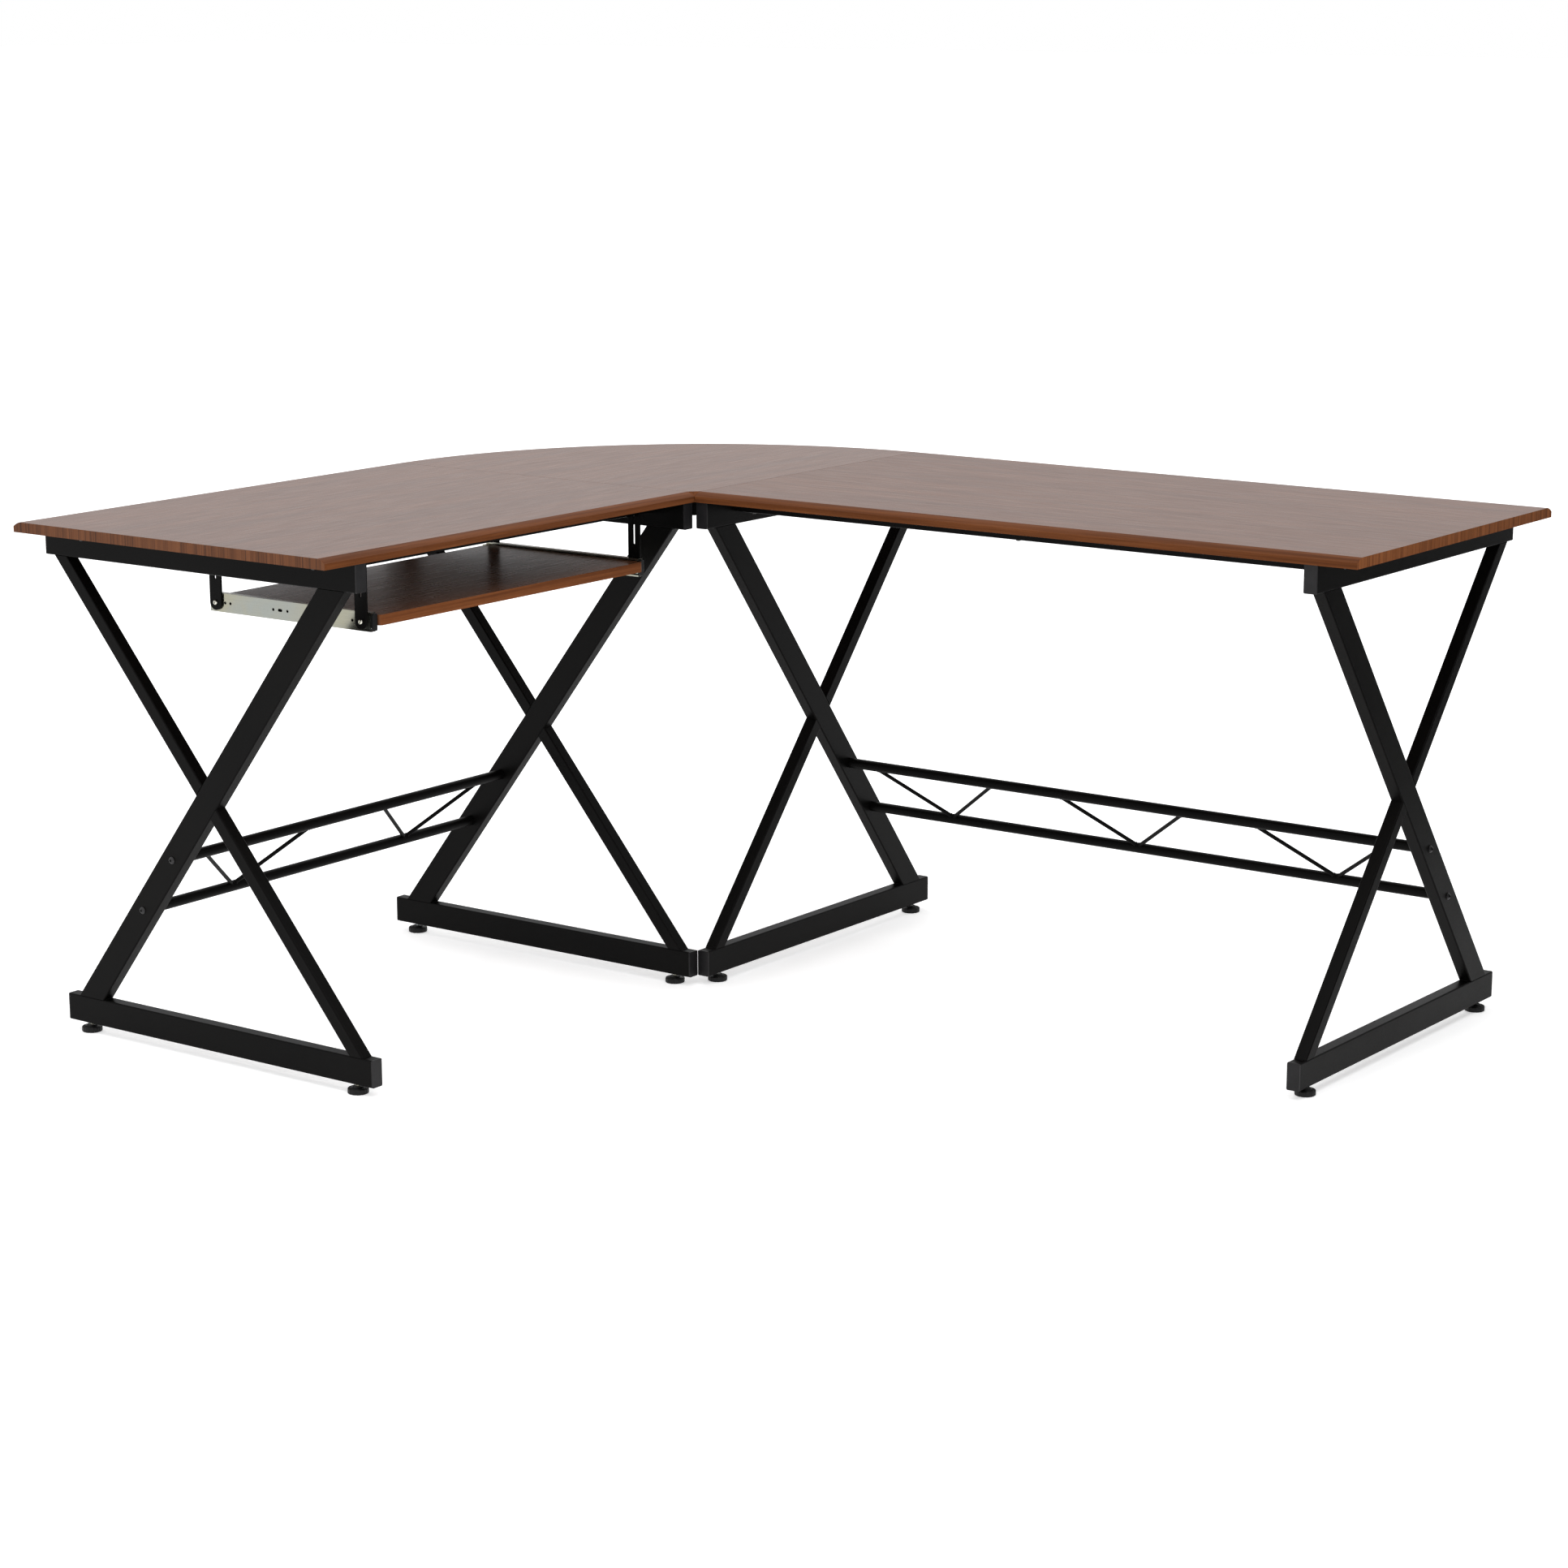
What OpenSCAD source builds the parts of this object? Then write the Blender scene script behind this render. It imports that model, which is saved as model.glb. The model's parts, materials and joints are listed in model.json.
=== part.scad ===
// Corner desk: two straight wings joined by a quarter-round corner panel, on four welded
// X-frames, with a sliding keyboard tray under the left wing. Millimetres, +Z up.
// Each wing is drawn in its own (u, w, z) frame: u runs back from the inner edge, w runs
// along the wing from the corner, and left_wing() and right_wing() put it in place.
// A cutter runs 1 mm past each face that it opens.

/* [Desk] */
// Height of the top surface above the floor
desk_h = 762; // [740:1:780]
// Depth of both wings, and the radius of the corner panel
wing_depth = 600; // [590:5:640]
// Length of the left wing, from the inner corner to its end
left_len = 803; // [800:1:900]
// Length of the right wing, from the inner corner to its end
right_len = 1106; // [1000:1:1300]
// Thickness of the top panels
top_t = 15; // [15:1:18]
// Width of the soft bevel along the long edges
bevel_w = 13; // [8:1:16]
// Depth of that bevel
bevel_h = 6.5; // [4:0.5:8]

/* [Frames] */
// Width of the frame tubes across the frame
tube_w = 20; // [20:1:25]
// Height of the rectangular rails
rail_h = 40; // [35:1:45]
// Face width of the wide leg
wide_leg_w = 40; // [35:1:45]
// Face width of the narrow leg
narrow_leg_w = 20; // [15:1:25]
// Wall thickness of all tubes
wall = 1.5; // [1:0.1:1.5]
// Overhang of the left top past its end frame
left_overhang = 64.5; // [50:0.5:80]
// Overhang of the right top past its end frame
right_overhang = 61.5; // [50:0.5:80]
// How far the top rails stand proud behind the tops' back edges
rail_proud = 6; // [0:0.5:8]
// Height of the gap under the bottom rails, which the feet bridge
foot_gap = 14.5; // [14:0.5:16]

/* [Crossbars] */
// Diameter of the round crossbars
bar_d = 16; // [13:0.5:18]
// Height of the upper crossbar's axis
bar_upper_z = 287; // [280:1:300]
// Height of the lower crossbar's axis
bar_lower_z = 204; // [190:1:210]
// Diameter of the bracing rods between the crossbars
rod_d = 6; // [4:0.1:7]

/* [Keyboard tray] */
// Width of the tray board along the wing
tray_w = 577; // [540:1:580]
// Depth of the tray board
tray_depth = 300; // [280:1:310]
// Height of the slides' centre line
tray_z = 654; // [650:0.5:660]
// Length of the ball slides
slide_len = 305; // [300:1:310]

/* [Hidden] */
$fn = 48;
frame_color = "#222224";
eps = 0.01;

// The desk's own origin is on the floor under the middle of its outline
corner_x = (wing_depth + rail_proud - right_len) / 2;
corner_y = (left_len - wing_depth - rail_proud) / 2;

// Tops
top_z = desk_h - top_t;
rail_top_z = top_z;
seam_gap = 0.6;
bevel_bow = 0.8;
bevel_steps = 4;
corner_tip = bevel_w;
corner_cutter = 60;

// Frames
rail_low_z = foot_gap + rail_h;
leg_top_z = rail_top_z - rail_h;
top_rail_u = [4, wing_depth + rail_proud];
bottom_rail_u = [0.3, wing_depth + rail_proud / 2];
wide_leg_u = [wing_depth - 45, 52];
narrow_leg_u = [31, wing_depth - 24];
inner_frame_w = 0;
tube_r = 2;
cap_t = 2;
cap_depth = 14;
cap_clear = 0.1;
left_end_w = left_len - left_overhang - tube_w;
right_end_w = right_len - right_overhang - tube_w;

// Beams under the tops, and their fasteners
beam_s = 20;
beam_u = [82, wing_depth - 68];
beam_z = top_z - beam_s / 2;
insert_len = 14;
insert_inset = 1;
bolt_r = 3;
bolt_hole_r = 3.25;
thread_r = 3.05;
bolt_head_r = 5.25;
bolt_head_h = 3.2;
bolt_dome_r = 6.5;
bolt_flat = 0.4;
bolt_reach = 10;
socket_af = 4;
socket_depth = 2;
screw_r = 2;
screw_hole_r = 2.2;
screw_head_r = 4;
screw_head_h = 2.4;
screw_bite = 10;
screw_tip = 1;
screw_inset = 30;

// Crossbars: their axes lie on the wide leg's centre line
function wide_leg_u_at(z) =
    wide_leg_u[0] + (wide_leg_u[1] - wide_leg_u[0]) * (z - rail_low_z) / (leg_top_z - rail_low_z);
bar_upper_u = wide_leg_u_at(bar_upper_z);
bar_lower_u = wide_leg_u_at(bar_lower_z);
brace_end = 160;
brace_half = 108;
brace_foot = 2.4;
rod_sink = 1.5;
left_braces = 2;
right_braces = 3;

// Corner brackets
link_leg = 35;
link_h = 20;
link_t = 3;
link_screw_u = 25;
bracket_leg = 25;
bracket_w = 30;
bracket_t = 2.5;
bracket_u = [150, wing_depth - 150];
bracket_screw = 15;
rail_screw_r = 2.5;
rail_screw_bite = 12;
rail_screw_head = [4.4, 2.2];

// Keyboard tray. Across the tray, s is 0 at a slide's mounting face and grows inwards
tray_mid_w = (tube_w + left_end_w) / 2;
tray_u = 36;
board_t = 15;
board_corner = 5;
slide_t = 10;
slide_reach = 9.4;
slide_lip = [1, 2.3];
slide_half = 13.5;
slide_wall = 1.2;
slide_u = 45;
board_lift = 2.5;
inner_half = 8.7;
inner_s = 2.6;
inner_wall = 1.2;
cage_len = 180;
cage_u = slide_u + 105;
cage_bridge = 10;
cage_wall = 0.6;
cage_s = 1.6;
cage_strip_w = 5.8;
cage_bridge_u = [cage_u + 90, cage_u + cage_len - cage_bridge];
ball_r = 1.6;
ball_count = 8;
bumper_u = [slide_u - 4.3, slide_u - 0.3];
bumper_s = [1, 9.2];
bumper_half = 12;
bumper_plug = 10;
bumper_clear = 0.1;
race_z = (slide_half - slide_wall + inner_half) / 2;
race_s = 5.4;
slide_hole_u = [for (d = [34, 156, 183, 266, 276]) slide_u + d];
slide_slot_u = slide_u + 170;
slide_hole_r = 2.1;
slide_bolt_r = 2;
slide_bolt_hole_r = 2.2;
nut_af = 7;
nut_t = 3.2;
nut_show = 0.6;
slide_bolt_head = [3.6, 2.4];
board_screw_u = [slide_u + 50, slide_u + 150, slide_u + 250];
board_screw_r = 1.75;
board_screw_head = [3.2, 1.8];
board_screw_bite = 12;

// Hangers that hold the slides under the left top
hanger_w = 22;
hanger_t = 3;
hanger_flange = 22;
hanger_u = [slide_u + 4.5, slide_u + slide_len - hanger_w - 2];
hanger_bolt_u = [for (u = hanger_u) u + hanger_w / 2];
hanger_slot = [4, 50];
hanger_slot_drop = 10;
hanger_screw_s = 12;
hanger_s = tray_w / 2 + slide_t;

// Feet
foot_u = [37, wing_depth - 33];
pad_r = 15;
pad_h = 8.5;
pad_top_h = 10.5;
pad_round = 1.5;
pad_rim = 2;
pad_dish = 0.8;
hub_r = 8;
stud_r = 3;
stud_top = 36;
nut_body_r = 5;
nut_flange_r = 7;
nut_flange_t = 1;
nut_body_h = 10;

// ---- Placing ----

module on_desk() { translate([corner_x, corner_y, 0]) children(); }

// Puts (u, w, z) on the left wing: u runs to -X and w runs to -Y
module left_wing() { on_desk() rotate([0, 0, 180]) children(); }

// Puts (u, w, z) on the right wing: u runs to +Y and w runs to +X
module right_wing() { on_desk() mirror([1, -1, 0]) children(); }

// Turns a drawing in (w, z) into a bar that runs along u from u0 to u1
module along_u(u0, u1) {
    translate([u0, 0, 0]) rotate([90, 0, 90]) linear_extrude(u1 - u0) children();
}

// Turns a drawing in (u, z) into a bar that runs along w from w0 to w1
module along_w(w0, w1) {
    translate([0, w1, 0]) rotate([90, 0, 0]) linear_extrude(w1 - w0) children();
}

// ---- Shapes used more than once ----

module round_rect(w, h, r) {
    translate([r, 0]) square([w - 2 * r, h]);
    translate([0, r]) square([w, h - 2 * r]);
    for (x = [r, w - r], y = [r, h - r]) translate([x, y]) circle(r);
}

module tube_section(w, h) {
    difference() {
        round_rect(w, h, tube_r);
        translate([wall, wall]) square([w - 2 * wall, h - 2 * wall]);
    }
}

// A hole of radius r along w, through the frame that starts at w0
module frame_bore(u, w0, z, r) {
    translate([u, w0 - 1, z]) rotate([-90, 0, 0]) cylinder(r = r, h = tube_w + 2);
}

// Cross-section of a top panel: both long edges carry the soft bevel
function bevel_point(k) =
    let (f = k / bevel_steps, bow = 4 * bevel_bow * f * (1 - f), n = norm([bevel_w, bevel_h]))
    [bevel_w * f - bow * bevel_h / n, bevel_h * f - bevel_h + bow * bevel_w / n];
bevel_curve = [for (k = [0:bevel_steps]) bevel_point(k)];
module top_section(d) {
    polygon(concat(
        [[0, 0]],
        [for (p = bevel_curve) [p[0], top_t + p[1]]],
        [for (k = [bevel_steps:-1:0]) [d - bevel_curve[k][0], top_t + bevel_curve[k][1]]],
        [[d, 0]]
    ));
}

// Half of that section, with its bevelled edge at the outside of radius r
module corner_section(r) {
    polygon(concat(
        [[0, 0], [0, top_t]],
        [for (k = [bevel_steps:-1:0]) [r - bevel_curve[k][0], top_t + bevel_curve[k][1]]],
        [[r, 0]]
    ));
}

// ---- Tops ----

module beam_screw_holes(end_w) {
    for (u = beam_u, w = beam_screw_ws(end_w)) {
        translate([u, w, top_z - 1]) cylinder(r = screw_r, h = screw_bite + 1);
    }
}
function beam_screw_ws(end_w) =
    [tube_w + screw_inset, (tube_w + end_w) / 2, end_w - screw_inset];

module wing_top(len) {
    translate([0, 0, top_z]) along_w(seam_gap / 2, len) top_section(wing_depth);
}

module left_top() {
    color("sienna") left_wing() difference() {
        wing_top(left_len);
        beam_screw_holes(left_end_w);
        at_hanger_screws() translate([0, 0, top_z - 1]) cylinder(r = screw_r, h = screw_bite + 1);
    }
}

module right_top() {
    color("sienna") right_wing() difference() {
        wing_top(right_len);
        beam_screw_holes(right_end_w);
    }
}

module corner_top() {
    g = seam_gap / 2;
    tip = corner_tip / sqrt(2);
    color("sienna") on_desk() difference() {
        translate([-g, g, top_z]) rotate([0, 0, 90])
            rotate_extrude(angle = 90, $fn = 180) corner_section(wing_depth - g);
        // Bevel across the tip that stands between the wings' front bevels
        translate([-g, g, desk_h - bevel_h]) rotate([0, 0, -45])
            rotate([0, atan2(bevel_h, tip), 0])
                translate([-corner_cutter / 2, -corner_cutter / 2, 0]) cube(corner_cutter);
        at_corner_brackets()
            translate([bracket_screw, 0, top_z - 1]) cylinder(r = screw_r, h = screw_bite + 1);
    }
}

// ---- Welded X-frames ----

module top_rail(w0) {
    color(frame_color) difference() {
        translate([0, w0, leg_top_z])
            along_u(top_rail_u[0] + cap_t, top_rail_u[1] - cap_t) tube_section(tube_w, rail_h);
        for (u = beam_u) frame_bore(u, w0, beam_z, bolt_hole_r);
        if (w0 == inner_frame_w) corner_side_holes();
    }
}

// Holes in an inner frame's rail for the corner hardware
module corner_side_holes() {
    spots = concat([[link_screw_u, rail_top_z - link_h / 2]],
                   [for (u = bracket_u) [u, rail_top_z - bracket_screw]]);
    for (p = spots) {
        translate([p[0], -1, p[1]]) rotate([-90, 0, 0]) cylinder(r = rail_screw_r, h = wall + 2);
    }
}

module bottom_rail(w0) {
    color(frame_color) difference() {
        translate([0, w0, foot_gap])
            along_u(bottom_rail_u[0] + cap_t, bottom_rail_u[1] - cap_t) tube_section(tube_w, rail_h);
        for (u = foot_u) {
            translate([u, w0 + tube_w / 2, foot_gap - 1]) cylinder(r = nut_body_r, h = wall + 2);
        }
    }
}

// Sweeps its child, drawn in (across the face, w), from us[0] at the bottom rail's top to
// us[1] at the top rail's underside, and cuts both ends level
module slanted(us, w0) {
    rise = leg_top_z - rail_low_z;
    run = us[1] - us[0];
    spare = wide_leg_w;
    intersection() {
        translate([us[0], w0, rail_low_z]) rotate([0, atan2(run, rise), 0])
            translate([0, 0, -spare]) linear_extrude(norm([run, rise]) + 2 * spare) children();
        translate([-wing_depth, w0 - 2, rail_low_z]) cube([3 * wing_depth, tube_w + 4, rise]);
    }
}

module wide_leg(w0) {
    color(frame_color) difference() {
        slanted(wide_leg_u, w0)
            translate([-wide_leg_w / 2, 0]) tube_section(wide_leg_w, tube_w);
        frame_bore(bar_upper_u, w0, bar_upper_z, bolt_hole_r);
        frame_bore(bar_lower_u, w0, bar_lower_z, bolt_hole_r);
    }
}

// The narrow leg is two tubes, butted to either side of the wide leg
module narrow_leg(w0) {
    color(frame_color) difference() {
        slanted(narrow_leg_u, w0)
            translate([-narrow_leg_w / 2, 0]) tube_section(narrow_leg_w, tube_w);
        slanted(wide_leg_u, w0)
            translate([-wide_leg_w / 2, -1]) square([wide_leg_w, tube_w + 2]);
    }
}

// Cap at a rail's end: a flange over the tube's end and a plug inside it
module end_cap(w0, z0, u, inward) {
    clear = wall + cap_clear;
    flange = u + inward * cap_t;
    plug = flange + inward * cap_depth;
    translate([0, w0, z0])
        along_u(min(u, flange), max(u, flange)) round_rect(tube_w, rail_h, tube_r);
    translate([0, w0 + clear, z0 + clear])
        along_u(min(flange, plug), max(flange, plug))
            square([tube_w - 2 * clear, rail_h - 2 * clear]);
}

module frame_caps(w0) {
    for (side = [0, 1]) {
        end_cap(w0, leg_top_z, top_rail_u[side], 1 - 2 * side);
        end_cap(w0, foot_gap, bottom_rail_u[side], 1 - 2 * side);
    }
}

module rail_end_caps() {
    color("#1c1c1e") {
        left_wing() for (w0 = [inner_frame_w, left_end_w]) frame_caps(w0);
        right_wing() for (w0 = [inner_frame_w, right_end_w]) frame_caps(w0);
    }
}

// ---- Beams and crossbars ----

module beam(u, end_w) {
    low = beam_z - beam_s / 2;
    color(frame_color) difference() {
        translate([u - beam_s / 2, 0, low]) {
            along_w(tube_w, end_w) tube_section(beam_s, beam_s);
            for (w = [tube_w, end_w - insert_len]) {
                along_w(w, w + insert_len) translate([insert_inset, insert_inset])
                    square(beam_s - 2 * insert_inset);
            }
        }
        for (w = [tube_w - 1, end_w - insert_len - 1]) {
            translate([u, w, beam_z]) rotate([-90, 0, 0]) cylinder(r = thread_r, h = insert_len + 2);
        }
        for (w = beam_screw_ws(end_w)) {
            translate([u, w, low - 1]) cylinder(r = screw_hole_r, h = beam_s + 2);
        }
    }
}

module crossbar(u, z, end_w) {
    span = end_w - tube_w;
    color(frame_color) translate([u, tube_w, z]) rotate([-90, 0, 0]) difference() {
        cylinder(d = bar_d, h = span);
        translate([0, 0, insert_len]) cylinder(r = bar_d / 2 - wall, h = span - 2 * insert_len);
        translate([0, 0, -1]) cylinder(r = thread_r, h = insert_len + 2);
        translate([0, 0, span - insert_len - 1]) cylinder(r = thread_r, h = insert_len + 2);
    }
}

// A straight rod between two points
module rod(p, q) {
    v = q - p;
    translate(p) rotate([0, acos(v[2] / norm(v)), atan2(v[1], v[0])])
        cylinder(d = rod_d, h = norm(v));
}

function brace_w(k, count, end_w) =
    tube_w + brace_end + k * (end_w - tube_w - 2 * brace_end) / (count - 1);

// Rods in V-shaped pairs, each rod let into the face of both crossbars
module brace_rods(count, end_w) {
    low = [bar_lower_u, bar_lower_z];
    high = [bar_upper_u, bar_upper_z];
    sink = (bar_d / 2 - rod_sink) * (high - low) / norm(high - low);
    color(frame_color) for (k = [0:count - 1], side = [-1, 1]) {
        w = brace_w(k, count, end_w);
        difference() {
            rod([low[0] + sink[0], w + side * brace_foot, low[1] + sink[1]],
                [high[0] - sink[0], w + side * brace_half, high[1] - sink[1]]);
            for (c = [low, high]) {
                translate([c[0], 0, c[1]]) rotate([-90, 0, 0]) cylinder(d = bar_d, h = end_w);
            }
        }
    }
}

// ---- Fasteners ----

// Button-head bolt: head on z < 0, shank along +Z. A small flat cuts the dome's crown
module button_bolt(len) {
    difference() {
        union() {
            translate([0, 0, -bolt_head_h]) intersection() {
                cylinder(r = bolt_head_r, h = bolt_head_h);
                translate([0, 0, bolt_dome_r - bolt_flat]) sphere(bolt_dome_r);
            }
            translate([0, 0, -eps]) cylinder(r = bolt_r, h = len);
        }
        translate([0, 0, -bolt_head_h - 1])
            cylinder(d = socket_af / cos(30), h = socket_depth + 1, $fn = 6);
    }
}

// Pan-head screw: head on z < 0, shank along +Z
module pan_screw(r, head, len) {
    translate([0, 0, -head[1]]) cylinder(r = head[0], h = head[1]);
    translate([0, 0, -eps]) cylinder(r = r, h = len - screw_tip);
    translate([0, 0, len - screw_tip - eps])
        cylinder(r1 = r, r2 = r / 3, h = screw_tip, $fn = 24);
}

// One bolt through each frame of a wing, with its head on the frame's outer face
module frame_bolts(u, z, end_w) {
    len = tube_w + bolt_reach;
    translate([u, 0, z]) rotate([-90, 0, 0]) button_bolt(len);
    translate([u, end_w + tube_w, z]) rotate([90, 0, 0]) button_bolt(len);
}

module beam_bolts() {
    color("#1b1b1c") {
        left_wing() for (u = beam_u) frame_bolts(u, beam_z, left_end_w);
        right_wing() for (u = beam_u) frame_bolts(u, beam_z, right_end_w);
    }
}

module wing_bar_bolts(end_w) {
    frame_bolts(bar_upper_u, bar_upper_z, end_w);
    frame_bolts(bar_lower_u, bar_lower_z, end_w);
}

module crossbar_bolts() {
    color("#1b1b1c") {
        left_wing() wing_bar_bolts(left_end_w);
        right_wing() wing_bar_bolts(right_end_w);
    }
}

module wing_beam_screws(end_w) {
    for (u = beam_u, w = beam_screw_ws(end_w)) {
        translate([u, w, beam_z - beam_s / 2])
            pan_screw(screw_r, [screw_head_r, screw_head_h], beam_s + screw_bite);
    }
}

module beam_screws() {
    color("#1b1b1c") {
        left_wing() wing_beam_screws(left_end_w);
        right_wing() wing_beam_screws(right_end_w);
    }
}

// ---- Corner hardware ----

// Angle plate that ties the two inner frames together at the inner corner
module corner_link_bracket() {
    low = rail_top_z - link_h;
    color("#1f1f21") on_desk() difference() {
        union() {
            translate([-link_leg, 0, low]) cube([link_leg, link_t, link_h]);
            translate([-link_t, 0, low]) cube([link_t, link_leg, link_h]);
        }
        translate([-link_screw_u, -1, low + link_h / 2]) rotate([-90, 0, 0])
            cylinder(r = rail_screw_r, h = link_t + 2);
        translate([-link_t - 1, link_screw_u, low + link_h / 2]) rotate([0, 90, 0])
            cylinder(r = rail_screw_r, h = link_t + 2);
    }
}

// Stands at each corner bracket: +X leads away from the rail, under the corner panel
module at_corner_brackets() {
    for (u = bracket_u) {
        translate([-u, 0, 0]) rotate([0, 0, 90]) children();
        translate([0, u, 0]) rotate([0, 0, 180]) children();
    }
}

module corner_panel_brackets() {
    color("#1f1f21") on_desk() at_corner_brackets() difference() {
        union() {
            translate([0, -bracket_w / 2, rail_top_z - bracket_leg])
                cube([bracket_t, bracket_w, bracket_leg]);
            translate([0, -bracket_w / 2, rail_top_z - bracket_t])
                cube([bracket_leg, bracket_w, bracket_t]);
        }
        translate([bracket_screw, 0, rail_top_z - bracket_leg])
            cylinder(r = screw_r, h = bracket_leg + 1);
        translate([-1, 0, rail_top_z - bracket_screw]) rotate([0, 90, 0])
            cylinder(r = rail_screw_r, h = bracket_t + 2);
    }
}

// Screws of the corner hardware: into the rails, and up into the corner panel
module corner_bracket_screws() {
    color("#1b1b1c") on_desk() {
        at_corner_brackets() {
            translate([bracket_t, 0, rail_top_z - bracket_screw]) rotate([0, -90, 0])
                pan_screw(rail_screw_r, rail_screw_head, bracket_t + rail_screw_bite);
            translate([bracket_screw, 0, rail_top_z - bracket_t])
                pan_screw(screw_r, [screw_head_r, screw_head_h], bracket_t + screw_bite);
        }
        translate([-link_screw_u, link_t, rail_top_z - link_h / 2]) rotate([90, 0, 0])
            pan_screw(rail_screw_r, rail_screw_head, link_t + rail_screw_bite);
        translate([-link_t, link_screw_u, rail_top_z - link_h / 2]) rotate([0, 90, 0])
            pan_screw(rail_screw_r, rail_screw_head, link_t + rail_screw_bite);
    }
}

// ---- Keyboard tray ----

// Stands at a slide's mounting face, at its middle height: +Y leads towards the board.
// Side 1 is next to the end frame, and side -1 next to the inner frame
module on_slide(side) {
    left_wing() translate([0, tray_mid_w + side * hanger_s, tray_z]) {
        if (side > 0) mirror([0, 1, 0]) children();
        else children();
    }
}

// A hole or pin across the slide, starting at s
module across(u, s, r, h) {
    translate([u, s, 0]) rotate([-90, 0, 0]) cylinder(r = r, h = h);
}

module tray_board() {
    r = board_corner;
    color("sienna") left_wing() difference() {
        translate([tray_u, tray_mid_w - tray_w / 2, tray_z + board_lift - board_t / 2])
            linear_extrude(board_t) {
                translate([r, 0]) square([tray_depth - r, tray_w]);
                translate([0, r]) square([tray_depth, tray_w - 2 * r]);
                for (w = [r, tray_w - r]) translate([r, w]) circle(r);
            }
        for (u = board_screw_u, side = [-1, 1]) {
            translate([u, tray_mid_w + side * (tray_w / 2 - board_screw_bite / 2 + 0.5), tray_z])
                rotate([90, 0, 0])
                    cylinder(r = board_screw_r, h = board_screw_bite + 1, center = true);
        }
    }
}

module outer_section() {
    translate([0, -slide_half]) square([slide_wall, 2 * slide_half]);
    for (side = [0, 1]) mirror([0, side]) {
        translate([0, slide_half - slide_wall]) square([slide_reach, slide_wall]);
        translate([slide_reach - slide_lip[0], slide_half - slide_lip[1]]) square(slide_lip);
    }
}

module outer_slide(side) {
    color("#aab4aa") on_slide(side) difference() {
        along_u(slide_u, slide_u + slide_len) outer_section();
        for (u = slide_hole_u) across(u, -1, slide_hole_r, slide_wall + 2);
        for (u = hanger_bolt_u) across(u, -1, slide_bolt_hole_r, slide_wall + 2);
        for (du = [-2, 2]) across(slide_slot_u + du, -1, slide_hole_r, slide_wall + 2);
        translate([slide_slot_u - 2, -1, -slide_hole_r])
            cube([4, slide_wall + 2, 2 * slide_hole_r]);
    }
}

module inner_section() {
    difference() {
        translate([inner_s, -inner_half]) square([slide_t - inner_s, 2 * inner_half]);
        translate([inner_s - 1, inner_wall - inner_half])
            square([slide_t - inner_wall - inner_s + 1, 2 * (inner_half - inner_wall)]);
    }
}

module inner_slide(side) {
    color("#aab4aa") on_slide(side) difference() {
        along_u(slide_u, slide_u + slide_len) inner_section();
        for (u = board_screw_u) {
            across(u, slide_t - inner_wall - 1, board_screw_r + 0.1, inner_wall + 2);
        }
    }
}

// Ball retainer: two strips with their balls, tied by two bridges
module ball_cage(side) {
    strip = [cage_strip_w, cage_wall];
    color("#2a2a2c") on_slide(side) {
        for (up = [0, 1]) mirror([0, 0, up]) {
            along_u(cage_u, cage_u + cage_len)
                translate([cage_s, race_z - cage_wall / 2]) square(strip);
            for (k = [0:ball_count - 1]) {
                translate([cage_u + (k + 0.5) * cage_len / ball_count, race_s, race_z])
                    sphere(ball_r);
            }
        }
        for (u = cage_bridge_u) {
            along_u(u, u + cage_bridge)
                translate([cage_s, -race_z]) square([cage_wall, 2 * race_z]);
        }
    }
}

// Rubber stop on the front end of each inner slide: a rounded head and a plug in the channel
module slide_bumpers() {
    plug_half = inner_half - inner_wall - bumper_clear;
    plug_s = inner_s + bumper_clear;
    color("#1c1c1e") for (side = [-1, 1]) on_slide(side) {
        along_u(bumper_u[0], bumper_u[1]) translate([bumper_s[0], -bumper_half])
            round_rect(bumper_s[1] - bumper_s[0], 2 * bumper_half, tube_r);
        along_u(bumper_u[1] - eps, slide_u + bumper_plug) translate([plug_s, -plug_half])
            square([slide_t - inner_wall - bumper_clear - plug_s, 2 * plug_half]);
    }
}

// Steel strap with a slot for height setting, a round foot and a flange under the top
module hanger(u, side) {
    top = top_z - tray_z;
    mid = u + hanger_w / 2;
    slot_r = hanger_slot[0] / 2;
    slot_z = [top - hanger_slot_drop - hanger_slot[1] + slot_r, top - hanger_slot_drop - slot_r];
    color("#202022") on_slide(side) difference() {
        union() {
            translate([u, -hanger_t, 0]) cube([hanger_w, hanger_t, top]);
            across(mid, -hanger_t, hanger_w / 2, hanger_t);
            translate([u, -hanger_flange, top - hanger_t]) cube([hanger_w, hanger_flange, hanger_t]);
        }
        across(mid, -hanger_t - 1, slide_bolt_hole_r, hanger_t + 2);
        for (z = slot_z) translate([0, 0, z]) across(mid, -hanger_t - 1, slot_r, hanger_t + 2);
        translate([mid - slot_r, -hanger_t - 1, slot_z[0]])
            cube([2 * slot_r, hanger_t + 2, slot_z[1] - slot_z[0]]);
        translate([mid, -hanger_screw_s, top - hanger_t - 1])
            cylinder(r = screw_hole_r, h = hanger_t + 2);
    }
}

// Stands under each hanger's flange screw, on the floor
module at_hanger_screws() {
    for (u = hanger_bolt_u, side = [-1, 1]) {
        translate([u, tray_mid_w + side * (hanger_s + hanger_screw_s), 0]) children();
    }
}

module hanger_screws() {
    color("#c9ccc8") left_wing() at_hanger_screws() translate([0, 0, top_z - hanger_t])
        pan_screw(screw_r, [screw_head_r, screw_head_h], hanger_t + screw_bite);
}

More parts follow.
